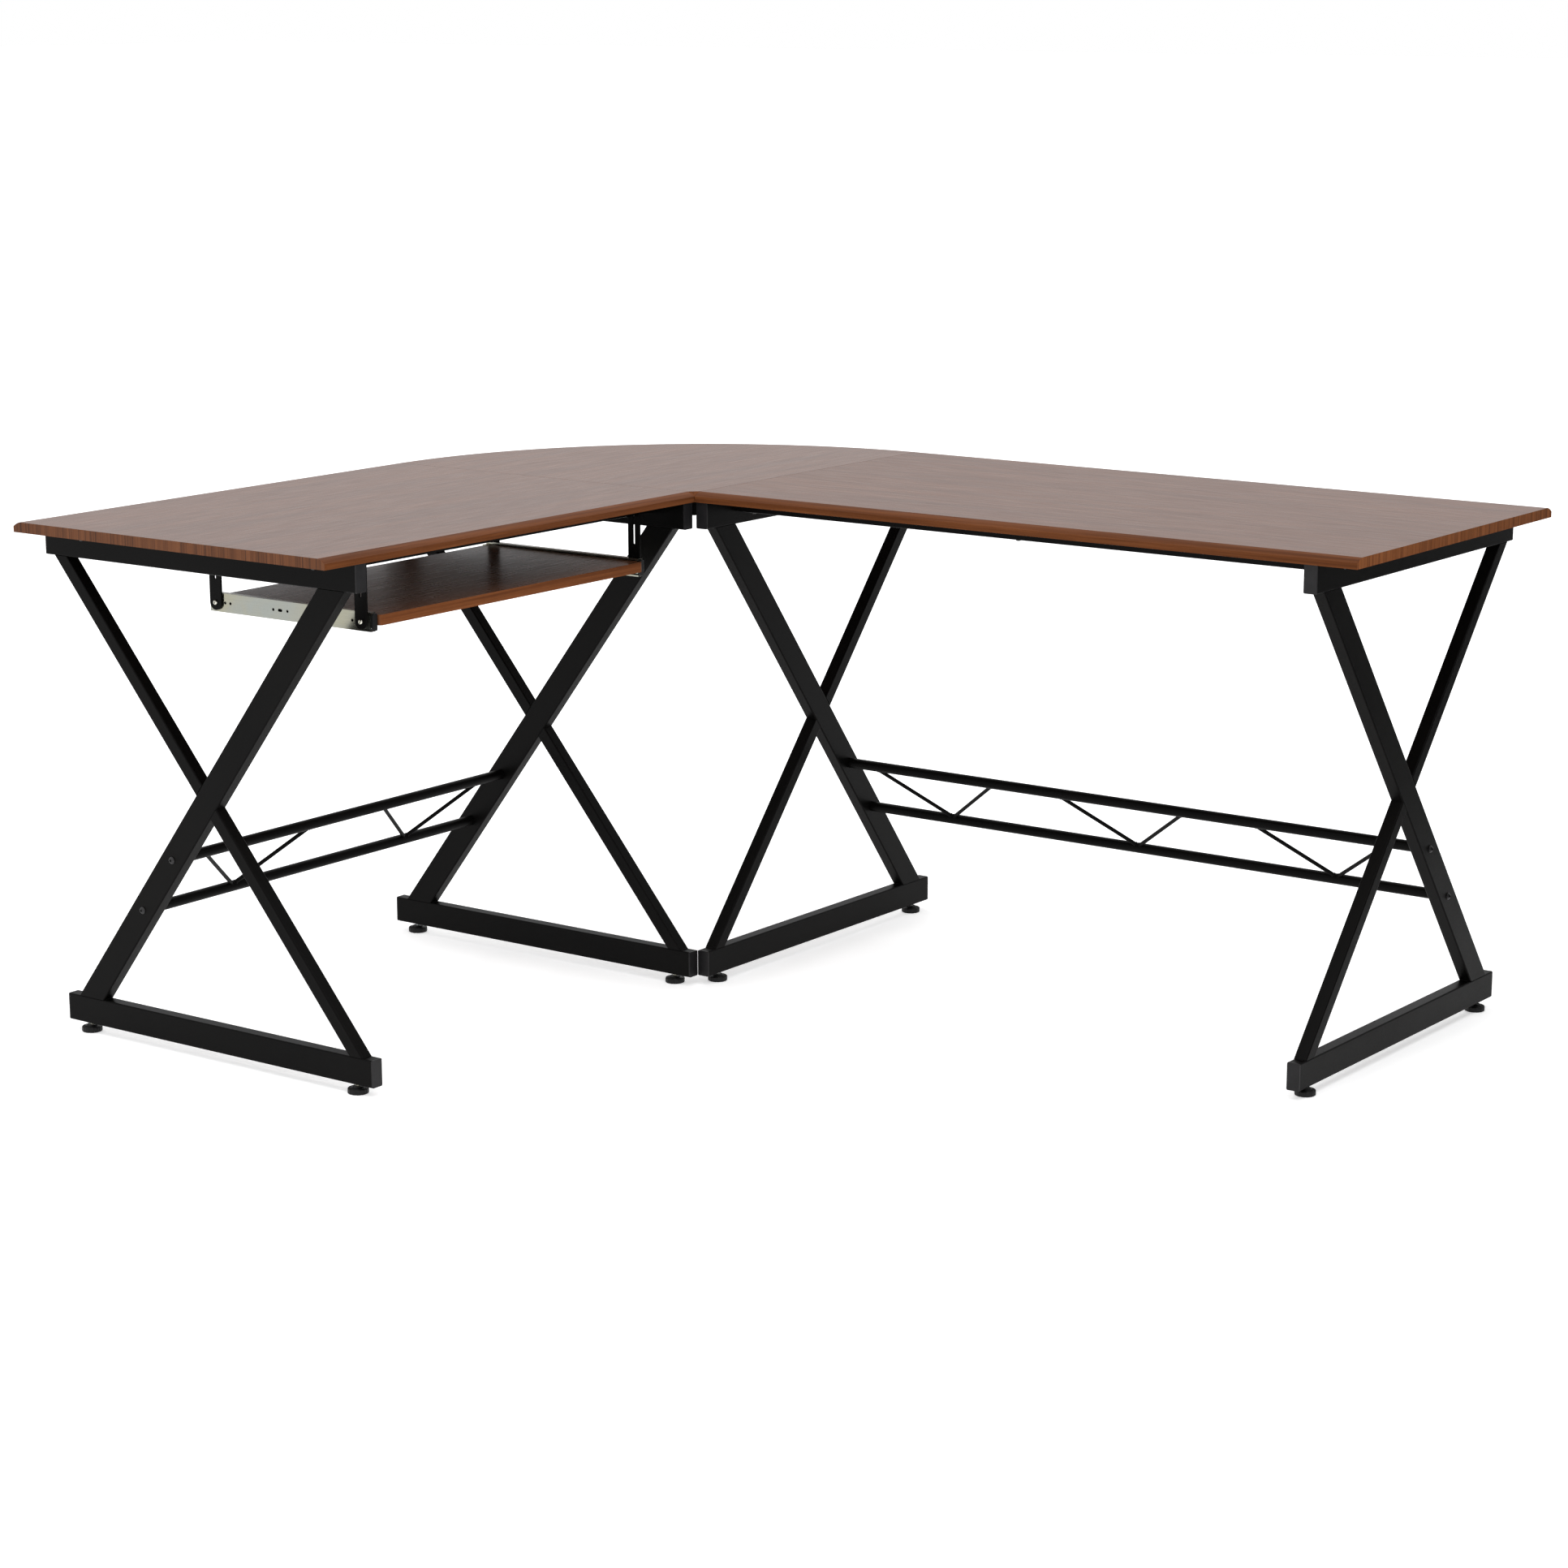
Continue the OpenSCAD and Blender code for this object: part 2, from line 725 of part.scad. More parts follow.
// Machine screws with nuts, which clamp the slides to the hangers
module slide_bolts() {
    reach = hanger_t + slide_wall + nut_t + nut_show;
    color("#c9ccc8") for (u = hanger_bolt_u, side = [-1, 1]) on_slide(side) {
        translate([u, -hanger_t, 0]) rotate([-90, 0, 0])
            pan_screw(slide_bolt_r, slide_bolt_head, reach);
        translate([u, slide_wall, 0]) rotate([-90, 0, 0]) difference() {
            cylinder(d = nut_af / cos(30), h = nut_t, $fn = 6);
            translate([0, 0, -1]) cylinder(r = slide_bolt_r + 0.05, h = nut_t + 2);
        }
    }
}

module tray_screws() {
    color("#c9ccc8") for (u = board_screw_u, side = [-1, 1]) on_slide(side) {
        translate([u, slide_t - inner_wall, 0]) rotate([-90, 0, 0])
            pan_screw(board_screw_r, board_screw_head, inner_wall + board_screw_bite);
    }
}

// ---- Feet ----

// Threaded inserts in the bottom rails
module foot_nuts() {
    color("#b8bcb8") {
        left_wing() for (w0 = [inner_frame_w, left_end_w]) frame_foot_nuts(w0);
        right_wing() for (w0 = [inner_frame_w, right_end_w]) frame_foot_nuts(w0);
    }
}

module frame_foot_nuts(w0) {
    for (u = foot_u) translate([u, w0 + tube_w / 2, foot_gap]) difference() {
        union() {
            translate([0, 0, -nut_flange_t]) cylinder(r = nut_flange_r, h = nut_flange_t);
            cylinder(r = nut_body_r, h = nut_body_h);
        }
        translate([0, 0, -2]) cylinder(r = thread_r, h = nut_body_h + 3);
    }
}

// Levelling foot: a stepped round pad on a threaded stud
module foot(k, w0) {
    color("#19191a") translate([foot_u[k], w0 + tube_w / 2, 0]) {
        rotate_extrude() polygon([
            [0, 0], [pad_r - pad_round, 0], [pad_r, pad_round], [pad_r, pad_h - pad_rim],
            [pad_r - pad_round, pad_h - pad_dish], [hub_r + 1, pad_h], [hub_r, pad_top_h],
            [0, pad_top_h]
        ]);
        translate([0, 0, pad_top_h - 1]) cylinder(r = stud_r, h = stud_top - pad_top_h + 1);
    }
}

// ---- The desk ----

left_top();
right_top();
corner_top();
left_wing() top_rail(left_end_w);  // left_end_top_rail
left_wing() bottom_rail(left_end_w);  // left_end_bottom_rail
left_wing() wide_leg(left_end_w);  // left_end_wide_leg
left_wing() narrow_leg(left_end_w);  // left_end_narrow_leg
left_wing() top_rail(inner_frame_w);  // left_inner_top_rail
left_wing() bottom_rail(inner_frame_w);  // left_inner_bottom_rail
left_wing() wide_leg(inner_frame_w);  // left_inner_wide_leg
left_wing() narrow_leg(inner_frame_w);  // left_inner_narrow_leg
right_wing() top_rail(inner_frame_w);  // right_inner_top_rail
right_wing() bottom_rail(inner_frame_w);  // right_inner_bottom_rail
right_wing() wide_leg(inner_frame_w);  // right_inner_wide_leg
right_wing() narrow_leg(inner_frame_w);  // right_inner_narrow_leg
right_wing() top_rail(right_end_w);  // right_end_top_rail
right_wing() bottom_rail(right_end_w);  // right_end_bottom_rail
right_wing() wide_leg(right_end_w);  // right_end_wide_leg
right_wing() narrow_leg(right_end_w);  // right_end_narrow_leg
rail_end_caps();
left_wing() beam(beam_u[0], left_end_w);  // left_front_beam
left_wing() beam(beam_u[1], left_end_w);  // left_rear_beam
right_wing() beam(beam_u[0], right_end_w);  // right_front_beam
right_wing() beam(beam_u[1], right_end_w);  // right_rear_beam
left_wing() crossbar(bar_upper_u, bar_upper_z, left_end_w);  // left_upper_crossbar
left_wing() crossbar(bar_lower_u, bar_lower_z, left_end_w);  // left_lower_crossbar
left_wing() brace_rods(left_braces, left_end_w);  // left_brace_rods
right_wing() crossbar(bar_upper_u, bar_upper_z, right_end_w);  // right_upper_crossbar
right_wing() crossbar(bar_lower_u, bar_lower_z, right_end_w);  // right_lower_crossbar
right_wing() brace_rods(right_braces, right_end_w);  // right_brace_rods
beam_bolts();
crossbar_bolts();
beam_screws();
corner_link_bracket();
corner_panel_brackets();
corner_bracket_screws();
tray_board();
tray_screws();
outer_slide(1);  // left_outer_slide
outer_slide(-1);  // right_outer_slide
inner_slide(1);  // left_inner_slide
inner_slide(-1);  // right_inner_slide
ball_cage(1);  // left_ball_cage
ball_cage(-1);  // right_ball_cage
slide_bumpers();
hanger(hanger_u[0], 1);  // left_front_hanger
hanger(hanger_u[1], 1);  // left_rear_hanger
hanger(hanger_u[0], -1);  // right_front_hanger
hanger(hanger_u[1], -1);  // right_rear_hanger
hanger_screws();
slide_bolts();
foot_nuts();
left_wing() foot(0, left_end_w);  // foot_left_end_front
left_wing() foot(1, left_end_w);  // foot_left_end_back
left_wing() foot(0, inner_frame_w);  // foot_left_inner_front
left_wing() foot(1, inner_frame_w);  // foot_left_inner_back
right_wing() foot(0, inner_frame_w);  // foot_right_inner_front
right_wing() foot(1, inner_frame_w);  // foot_right_inner_back
right_wing() foot(0, right_end_w);  // foot_right_end_front
right_wing() foot(1, right_end_w);  // foot_right_end_back
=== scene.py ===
"""Looks of the corner desk: finishes, eased edges, welds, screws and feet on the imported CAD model."""

import json
import math

import bmesh
import bpy
from mathutils import Matrix, Vector


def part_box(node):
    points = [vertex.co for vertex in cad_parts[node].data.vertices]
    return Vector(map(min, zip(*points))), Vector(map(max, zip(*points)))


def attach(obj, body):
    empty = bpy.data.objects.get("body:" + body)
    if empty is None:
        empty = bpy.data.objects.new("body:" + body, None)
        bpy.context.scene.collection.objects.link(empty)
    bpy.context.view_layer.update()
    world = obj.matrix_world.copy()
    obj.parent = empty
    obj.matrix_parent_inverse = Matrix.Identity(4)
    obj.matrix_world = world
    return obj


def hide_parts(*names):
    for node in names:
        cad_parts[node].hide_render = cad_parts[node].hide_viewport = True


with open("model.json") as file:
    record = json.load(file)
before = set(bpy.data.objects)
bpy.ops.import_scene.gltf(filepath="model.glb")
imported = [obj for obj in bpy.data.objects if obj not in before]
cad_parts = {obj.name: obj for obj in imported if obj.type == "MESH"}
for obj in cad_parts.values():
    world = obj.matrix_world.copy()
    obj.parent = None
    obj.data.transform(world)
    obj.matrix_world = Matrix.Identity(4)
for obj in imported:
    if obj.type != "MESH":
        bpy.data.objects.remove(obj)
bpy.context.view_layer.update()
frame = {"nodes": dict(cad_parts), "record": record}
NODES = frame["nodes"]
MM = 0.001

# ---------------------------------------------------------------- material building


class Graph:
    """A material under construction: its node tree, its shader and its object coordinates."""

    def __init__(self, name, **values):
        self.material = bpy.data.materials.new(name)
        self.material.use_nodes = True
        self.tree = self.material.node_tree
        self.tree.nodes.clear()
        output = self.tree.nodes.new("ShaderNodeOutputMaterial")
        self.shader = self.tree.nodes.new("ShaderNodeBsdfPrincipled")
        self.tree.links.new(self.shader.outputs["BSDF"], output.inputs["Surface"])
        for socket, value in values.items():
            self.shader.inputs[socket.replace("_", " ")].default_value = value
        self.coords = self.tree.nodes.new("ShaderNodeTexCoord").outputs["Object"]

    def put(self, value, socket):
        if isinstance(value, bpy.types.NodeSocket):
            self.tree.links.new(value, socket)
        else:
            socket.default_value = value

    def paint(self, colour):
        self.put(colour, self.shader.inputs["Base Color"])

    def rough(self, value):
        self.put(value, self.shader.inputs["Roughness"])

    def stretch(self, scale, vector=None, shift=(0, 0, 0)):
        node = self.tree.nodes.new("ShaderNodeMapping")
        self.put(vector or self.coords, node.inputs["Vector"])
        node.inputs["Scale"].default_value = scale
        node.inputs["Location"].default_value = shift
        return node.outputs["Vector"]

    def noise(self, vector, scale=1.0, detail=2.0, roughness=0.5, distortion=0.0):
        node = self.tree.nodes.new("ShaderNodeTexNoise")
        self.put(vector, node.inputs["Vector"])
        node.inputs["Scale"].default_value = scale
        node.inputs["Detail"].default_value = detail
        node.inputs["Roughness"].default_value = roughness
        node.inputs["Distortion"].default_value = distortion
        return node.outputs["Fac"]

    def ramp(self, fac, stops):
        node = self.tree.nodes.new("ShaderNodeValToRGB")
        self.put(fac, node.inputs["Fac"])
        elements = node.color_ramp.elements
        while len(elements) > 1:
            elements.remove(elements[-1])
        elements[0].position, elements[0].color = stops[0][0], (*stops[0][1], 1)
        for position, colour in stops[1:]:
            elements.new(position).color = (*colour, 1)
        return node.outputs["Color"]

    def span(self, value, low, high, to_low, to_high):
        node = self.tree.nodes.new("ShaderNodeMapRange")
        names = ("Value", "From Min", "From Max", "To Min", "To Max")
        for socket, v in zip(names, (value, low, high, to_low, to_high)):
            self.put(v, node.inputs[socket])
        return node.outputs["Result"]

    def math(self, operation, a, b=0.0):
        node = self.tree.nodes.new("ShaderNodeMath")
        node.operation = operation
        self.put(a, node.inputs[0])
        self.put(b, node.inputs[1])
        return node.outputs[0]

    def mix(self, fac, a, b, mode="MIX"):
        node = self.tree.nodes.new("ShaderNodeMix")
        node.data_type = "RGBA"
        node.blend_type = mode
        self.put(fac, node.inputs[0])
        for socket, v in ((node.inputs[6], a), (node.inputs[7], b)):
            self.put(v if isinstance(v, bpy.types.NodeSocket) else (*v, 1), socket)
        return node.outputs[2]

    def parts(self, vector):
        node = self.tree.nodes.new("ShaderNodeSeparateXYZ")
        self.put(vector, node.inputs[0])
        return node.outputs

    def join(self, x, y, z):
        node = self.tree.nodes.new("ShaderNodeCombineXYZ")
        for socket, v in zip(node.inputs, (x, y, z)):
            self.put(v, socket)
        return node.outputs[0]

    def bump(self, height, depth, strength=1.0):
        node = self.tree.nodes.new("ShaderNodeBump")
        node.inputs["Strength"].default_value = strength
        node.inputs["Distance"].default_value = depth
        self.put(height, node.inputs["Height"])
        earlier = self.shader.inputs["Normal"].links
        if earlier:
            self.put(earlier[0].from_socket, node.inputs["Normal"])
        self.put(node.outputs["Normal"], self.shader.inputs["Normal"])


# ---------------------------------------------------------------- walnut laminate

WALNUT = ((0.0, (0.052, 0.0175, 0.0062)), (0.34, (0.084, 0.0285, 0.0098)),
          (0.62, (0.110, 0.0385, 0.0135)), (1.0, (0.142, 0.0520, 0.0195)))
STREAK, PORE = (0.036, 0.0125, 0.0055), (0.024, 0.0090, 0.0045)
ACROSS_FACE, ACROSS_EDGE, ACROSS_BAND = 26.0, 120.0, 80.0


def bent(g, centre, radius):
    """Coordinates that run round an upright rim: along it, then up."""
    x, y, z = g.parts(g.coords)
    angle = g.math("ARCTAN2", g.math("SUBTRACT", y, centre.y), g.math("SUBTRACT", x, centre.x))
    return g.join(g.math("MULTIPLY", angle, radius), z, 0.0)


def walnut(name, grain, across, level, gloss, tone=1.0, warm=1.0, contrast=1.0, streak=0.26, stripe=0.0,
           shift=(0, 0, 0), rim=None):
    """Printed walnut. Grain runs along one axis, and across is the figure's density over each axis."""
    g = Graph(name, Specular_IOR_Level=level)
    at = bent(g, *rim) if rim else g.coords

    def layer(along, over, **shape):
        scale = [along if axis == grain else over * a for axis, a in zip("XYZ", across)]
        return g.noise(g.stretch(scale, at, shift), **shape)

    wave = layer(0.9, 0.22, detail=2)
    figure = layer(2.6, 1.3, detail=5, roughness=0.58, distortion=0.35)
    streaks = layer(15.0, 15.0, detail=4, roughness=0.6)
    lines = layer(1.2, 4.5, detail=3, roughness=0.7)
    pores = layer(45.0, 34.0, detail=2)
    drift = g.math("ADD", g.math("MULTIPLY", figure, 0.75), g.math("MULTIPLY", wave, 0.25))
    reach = 0.2 / contrast
    body = g.ramp(g.span(drift, 0.5 - reach, 0.5 + reach, 0.0, 1.0), WALNUT)
    body = g.mix(g.span(streaks, 0.35, 0.65, 0.0, streak), body, STREAK)
    if stripe:
        body = g.mix(g.span(lines, 0.54, 0.66, 0.0, stripe), body, PORE)
    body = g.mix(g.span(pores, 0.60, 0.72, 0.0, 0.40), body, PORE)
    g.paint(g.mix(1.0, body, (tone, tone * warm, tone * warm ** 2), "MULTIPLY"))
    g.rough(g.span(streaks, 0.3, 0.7, *gloss))
    g.bump(pores, 0.03 * MM, 0.5)
    return g.material


def underside():
    """Balancing paper on the boards' undersides: dull brown with a faint mottle."""
    g = Graph("board_backer", Specular_IOR_Level=0.3)
    mottle = g.noise(g.coords, 22, 4, 0.6)
    fibre = g.noise(g.coords, 900, 2, 0.5)
    body = g.ramp(mottle, [(0.35, (0.060, 0.030, 0.020)), (0.65, (0.090, 0.048, 0.032))])
    g.paint(g.mix(g.span(fibre, 0.3, 0.7, 0.0, 0.25), body, (0.03, 0.015, 0.010)))
    g.rough(g.span(mottle, 0.3, 0.7, 0.62, 0.75))
    g.bump(fibre, 0.03 * MM, 0.4)
    return g.material


# ---------------------------------------------------------------- metals and plastics


def powder_coat(name="black_powder_coat"):
    """Satin black powder coat: fine orange peel, slow tone drift and paler rubbed patches scattered at
    random.
    """
    g = Graph(name, Specular_IOR_Level=0.055)
    drift = g.noise(g.coords, 7, 3, 0.55)
    peel = g.noise(g.coords, 1500, 2, 0.5)
    fine = g.noise(g.coords, 4200, 1, 0.5)
    dust = g.noise(g.coords, 260, 5, 0.7)
    body = g.ramp(drift, [(0.35, (0.0015, 0.0014, 0.0013)), (0.65, (0.0026, 0.0024, 0.0022))])
    g.paint(g.mix(g.span(dust, 0.56, 0.74, 0.0, 0.25), body, (0.008, 0.007, 0.0065)))
    g.rough(g.math("ADD", g.span(drift, 0.3, 0.7, 0.36, 0.43), g.span(dust, 0.5, 0.8, 0.0, 0.08)))
    g.bump(peel, 0.06 * MM, 0.35)
    g.bump(fine, 0.02 * MM, 0.3)
    return g.material


def black_oxide(name="black_oxide"):
    """Blackened fastener steel, a little metallic all over, with random dark blotches and fine scratches
    in its gloss.
    """
    g = Graph(name, Metallic=0.35, Specular_IOR_Level=0.5)
    blotch = g.noise(g.coords, 420, 4, 0.6)
    scratch = g.noise(g.stretch((900, 9000, 2500)), 1, 2, 0.5)
    g.paint(g.ramp(blotch, [(0.35, (0.009, 0.009, 0.010)), (0.68, (0.026, 0.025, 0.025))]))
    g.rough(g.span(scratch, 0.3, 0.7, 0.30, 0.44))
    g.bump(scratch, 0.02 * MM, 0.3)
    return g.material


def zinc(name, along, tint=(0.27, 0.27, 0.23)):
    """Bright zinc plate: rolling lines along the part, passivation tints drifting over it."""
    g = Graph(name, Metallic=1.0)
    scales = [6.0 if axis == along else 700.0 for axis in "XYZ"]
    lines = g.noise(g.stretch(scales), 1, 3, 0.55)
    drift = g.noise(g.stretch((14, 14, 14)), 1, 3, 0.6, 0.8)
    grain = g.noise(g.coords, 1600, 2, 0.5)
    shades = ((0.30, (0.95, 1.00, 1.08)), (0.48, (1, 1, 1)), (0.62, (1.04, 1.01, 0.90)),
              (0.75, (0.93, 1.00, 1.03)))
    tinted = g.ramp(drift, [(at, tuple(c * k for c, k in zip(tint, shade))) for at, shade in shades])
    g.paint(g.mix(g.span(lines, 0.35, 0.65, 0.0, 0.12), tinted, (0.22, 0.23, 0.21)))
    g.rough(g.math("ADD", g.span(lines, 0.3, 0.7, 0.13, 0.22), g.span(grain, 0.4, 0.7, 0.0, 0.05)))
    g.bump(lines, 0.01 * MM, 0.2)
    return g.material


def plastic(name, body, roughness, pebble, level=0.3):
    """Moulded plastic with a fine spark-eroded texture and a slight tone drift."""
    g = Graph(name, Specular_IOR_Level=level)
    drift = g.noise(g.coords, 60, 3, 0.55)
    texture = g.noise(g.coords, pebble, 3, 0.6)
    g.paint(g.ramp(drift, [(0.35, tuple(c * 0.8 for c in body)), (0.65, tuple(c * 1.2 for c in body))]))
    g.rough(g.span(texture, 0.3, 0.7, roughness - 0.05, roughness + 0.07))
    g.bump(texture, 0.05 * MM, 0.45)
    return g.material


BLACK = powder_coat()
OXIDE = black_oxide()
ZINC_X = zinc("zinc_plate", "X")
ZINC_BOLT = zinc("zinc_fastener", "Z", (0.60, 0.60, 0.57))
CAP = plastic("end_cap_plastic", (0.0085, 0.0080, 0.0086), 0.42, 1500, 0.2)
FOOT = plastic("foot_plastic", (0.0055, 0.0054, 0.0054), 0.44, 1100, 0.2)
CAGE = plastic("cage_plastic", (0.0060, 0.0060, 0.0064), 0.36, 1300, 0.2)
BACKER = underside()

# ---------------------------------------------------------------- shape helpers

WELD_DIST = 0.002 * MM
FLAT_ANGLE, CREASE_ANGLE = math.radians(0.4), math.radians(38)


def cad_mesh(node):
    """A copy of a CAD node's mesh, with its split corners joined and its flat faces whole."""
    bm = bmesh.new()
    bm.from_mesh(NODES[node].data)
    bmesh.ops.remove_doubles(bm, verts=bm.verts, dist=WELD_DIST)
    bmesh.ops.dissolve_limit(bm, angle_limit=FLAT_ANGLE, verts=bm.verts, edges=bm.edges)
    bmesh.ops.recalc_face_normals(bm, faces=bm.faces)
    return bm


def ease(bm, radius, sharp=32.0, segments=2):
    """Rounds the edges that turn by more than the sharp angle, in degrees."""
    hard = [e for e in bm.edges if len(e.link_faces) == 2 and e.calc_face_angle(0) > math.radians(sharp)]
    bmesh.ops.bevel(bm, geom=hard, offset=radius, segments=segments, profile=0.6, affect="EDGES",
                    clamp_overlap=True)


def make_piece(bm, name, materials, chooser=None, crease=CREASE_ANGLE):
    """Turns a mesh under construction into an object; chooser gives each face's material."""
    bm.normal_update()
    if chooser:
        for f in bm.faces:
            f.material_index = chooser(f)
    mesh = bpy.data.meshes.new(name)
    bm.to_mesh(mesh)
    bm.free()
    for m in materials:
        mesh.materials.append(m)
    mesh.shade_smooth()
    mesh.set_sharp_from_angle(angle=crease)
    piece = bpy.data.objects.new(name, mesh)
    bpy.context.scene.collection.objects.link(piece)
    flatten = piece.modifiers.new("flat_faces_stay_flat", "WEIGHTED_NORMAL")
    flatten.keep_sharp = True
    return piece


def body_of(node):
    return next(b for b, members in frame["record"]["behaviour"]["bodies"].items() if node in members)


def stand_in(piece, node):
    """The piece rides with the node's body and is shown instead of it."""
    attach(piece, body_of(node))
    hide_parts(node)


def eased(node, materials, radius, sharp=32.0, segments=2, chooser=None, crease=CREASE_ANGLE):
    """The CAD node's own shape with its sharp edges eased by that radius."""
    bm = cad_mesh(node)
    ease(bm, radius, sharp, segments)
    stand_in(make_piece(bm, node + "_finished", materials, chooser, crease), node)


def lathe(bm, profile, steps=48, place=Matrix.Identity(4), flutes=0, flute_depth=0.0):
    """Adds a solid turned about +Z from (radius, height) points, with grip flutes if asked."""
    rings = []
    grip = 0.85 * max(r for r, z in profile)
    for r, z in profile:
        if r == 0:
            rings.append([bm.verts.new(place @ Vector((0, 0, z)))])
            continue
        ring = []
        for k in range(steps):
            angle = 2 * math.pi * k / steps
            at = r - (flute_depth * max(0.0, math.cos(flutes * angle)) ** 6 if r > grip else 0)
            ring.append(bm.verts.new(place @ Vector((at * math.cos(angle), at * math.sin(angle), z))))
        rings.append(ring)
    for a, b in zip(rings, rings[1:]):
        for k in range(steps):
            n = (k + 1) % steps
            corners = dict.fromkeys((a[k % len(a)], a[n % len(a)], b[n % len(b)], b[k % len(b)]))
            bm.faces.new(list(corners))
    bmesh.ops.recalc_face_normals(bm, faces=bm.faces)


def thread(radius, start, end, pitch, depth=0.16):
    """Profile points of a screw thread between two heights."""
    points = []
    for k in range(int((end - start) / pitch)):
        z = start + k * pitch
        points += [(radius * (1 - depth), z + 0.1 * pitch)]
        points += [(radius, z + 0.45 * pitch), (radius, z + 0.6 * pitch)]
    return points


def aimed(start, direction, spin=0.0):
    """Matrix that puts a shape drawn along +Z at start, pointing along direction."""
    turn = direction.to_track_quat("Z", "Y").to_matrix().to_4x4()
    return Matrix.Translation(start) @ turn @ Matrix.Rotation(spin, 4, "Z")


def islands(bm):
    """The separate solids of a mesh, each as a list of its vertices."""
    seen, groups = set(), []
    for first in bm.verts:
        if first in seen:
            continue
        seen.add(first)
        group, waiting = [], [first]
        while waiting:
            v = waiting.pop()
            group.append(v)
            for e in v.link_edges:
                other = e.other_vert(v)
                if other not in seen:
                    seen.add(other)
                    waiting.append(other)
        groups.append(group)
    return groups


# ---------------------------------------------------------------- tops and tray board

corner_low, corner_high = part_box("corner_top")
INNER = Vector((corner_high.x, corner_low.y, 0))
RADIUS = corner_high.y - corner_low.y

TOP = {"level": 0.26, "contrast": 0.5, "streak": 0.30, "tone": 1.12, "gloss": (0.25, 0.34)}
EDGE = {"level": 0.03, "contrast": 1.0, "streak": 0.42, "tone": 1.34, "warm": 0.94,
        "gloss": (0.30, 0.42)}
BAND = {"level": 0.12, "contrast": 1.0, "streak": 0.40, "tone": 1.25, "stripe": 0.85,
        "gloss": (0.36, 0.46)}
FACES = {
    "left": walnut("walnut_left", "Y", (ACROSS_FACE,) * 3, **TOP),
    "right": walnut("walnut_right", "X", (ACROSS_FACE,) * 3, shift=(3.1, 1.7, 0.4),
                    **{**TOP, "level": 0.16}),
    "corner": walnut("walnut_corner", "Y", (ACROSS_FACE,) * 3, shift=(0.6, 5.3, 0.2), **TOP),
    "tray": walnut("walnut_tray", "Y", (ACROSS_FACE,) * 3, shift=(7.9, 2.3, 1.2),
                   **{**TOP, "contrast": 0.3}),
}
EDGES = {
    "left": walnut("walnut_edge_left", "Y", (ACROSS_EDGE,) * 3, **EDGE),
    "right": walnut("walnut_edge_right", "X", (ACROSS_EDGE,) * 3, shift=(2, 4, 1),
                    **{**EDGE, "tone": 1.22}),
    "corner": walnut("walnut_edge_corner", "X", (1, ACROSS_EDGE, 1), rim=(INNER, RADIUS), **EDGE),
    "tray": walnut("walnut_edge_tray", "Y", (ACROSS_EDGE,) * 3, shift=(5, 3, 2),
                   **{**EDGE, "tone": 1.55}),
}
BANDS = {
    "left": walnut("walnut_band_left", "Z", (ACROSS_BAND, ACROSS_BAND, 1), **BAND),
    # Painted light: the right end band is the same banding as the left, painted about 1.8 times lighter
    # with almost no specular, for the light that falls on this end face.
    "right": walnut("walnut_band_right_painted_lighter", "Z", (ACROSS_BAND, ACROSS_BAND, 1), shift=(0, 7, 0),
                    **{**BAND, "level": 0.015, "tone": 2.25}),
}


def board_faces(ends):
    """Chooses a board's finish by which way a face looks: 0 top, 1 long edges, 2 underside, 3 ends."""
    def choose(f):
        n = f.normal
        if abs(n.z) > 0.985:
            return 0 if n.z > 0 else 2
        return 3 if abs(n[ends]) > 0.8 else 1
    return choose


BOARD_EASE, TRAY_EASE, BOARD_SHARP = 0.3 * MM, 1.0 * MM, 18.0
BOARD_CREASE = math.radians(12)
BOARDS = (
    ("left_top", "left", "left", 1, BOARD_EASE),
    ("right_top", "right", "right", 0, BOARD_EASE),
    ("corner_top", "corner", None, 0, BOARD_EASE),
    ("tray_board", "tray", "left", 1, TRAY_EASE),
)
for node, finish, band, ends, radius in BOARDS:
    edge = EDGES[finish]
    finishes = [FACES[finish], edge, BACKER, BANDS[band] if band else edge]
    eased(node, finishes, radius, BOARD_SHARP, 2, board_faces(ends), BOARD_CREASE)

# ---------------------------------------------------------------- frames, bars and slides

FRAMES = ("left_end", "left_inner", "right_inner", "right_end")
PARTS = ("top_rail", "bottom_rail", "wide_leg", "narrow_leg")
STEEL = [f"{f}_{part}" for f in FRAMES for part in PARTS]
for side in ("left", "right"):
    STEEL += [f"{side}_front_beam", f"{side}_rear_beam", f"{side}_front_hanger", f"{side}_rear_hanger"]
    STEEL += [f"{side}_upper_crossbar", f"{side}_lower_crossbar", f"{side}_brace_rods"]
STEEL += ["corner_link_bracket", "corner_panel_brackets"]
for node in STEEL:
    eased(node, [BLACK], 0.3 * MM)
eased("rail_end_caps", [CAP], 0.5 * MM)
eased("slide_bumpers", [CAGE], 0.6 * MM)
for node in ("beam_bolts", "crossbar_bolts"):
    eased(node, [OXIDE], 0.25 * MM)
for node in ("left_outer_slide", "right_outer_slide", "left_inner_slide", "right_inner_slide"):
    eased(node, [ZINC_X], 0.2 * MM)
eased("foot_nuts", [ZINC_BOLT], 0.2 * MM)


def ball_faces(node):
    """Chooses steel for the balls, which stand out of the cage's strips, and plastic for the rest."""
    low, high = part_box(node)
    middle = (low.z + high.z) / 2
    ball = 1.6 * MM
    strip = 0.35 * MM
    race = (high.z - low.z) / 2 - ball
    return lambda f: int(abs(abs(f.calc_center_median().z - middle) - race) > strip
                         and abs(f.calc_center_median().z - middle) > race - ball)


for node in ("left_ball_cage", "right_ball_cage"):
    stand_in(make_piece(cad_mesh(node), node + "_finished", [CAGE, ZINC_BOLT], ball_faces(node)), node)

# ---------------------------------------------------------------- welds

BEAD_R, BEAD_INSET = 1.5 * MM, 2.5 * MM


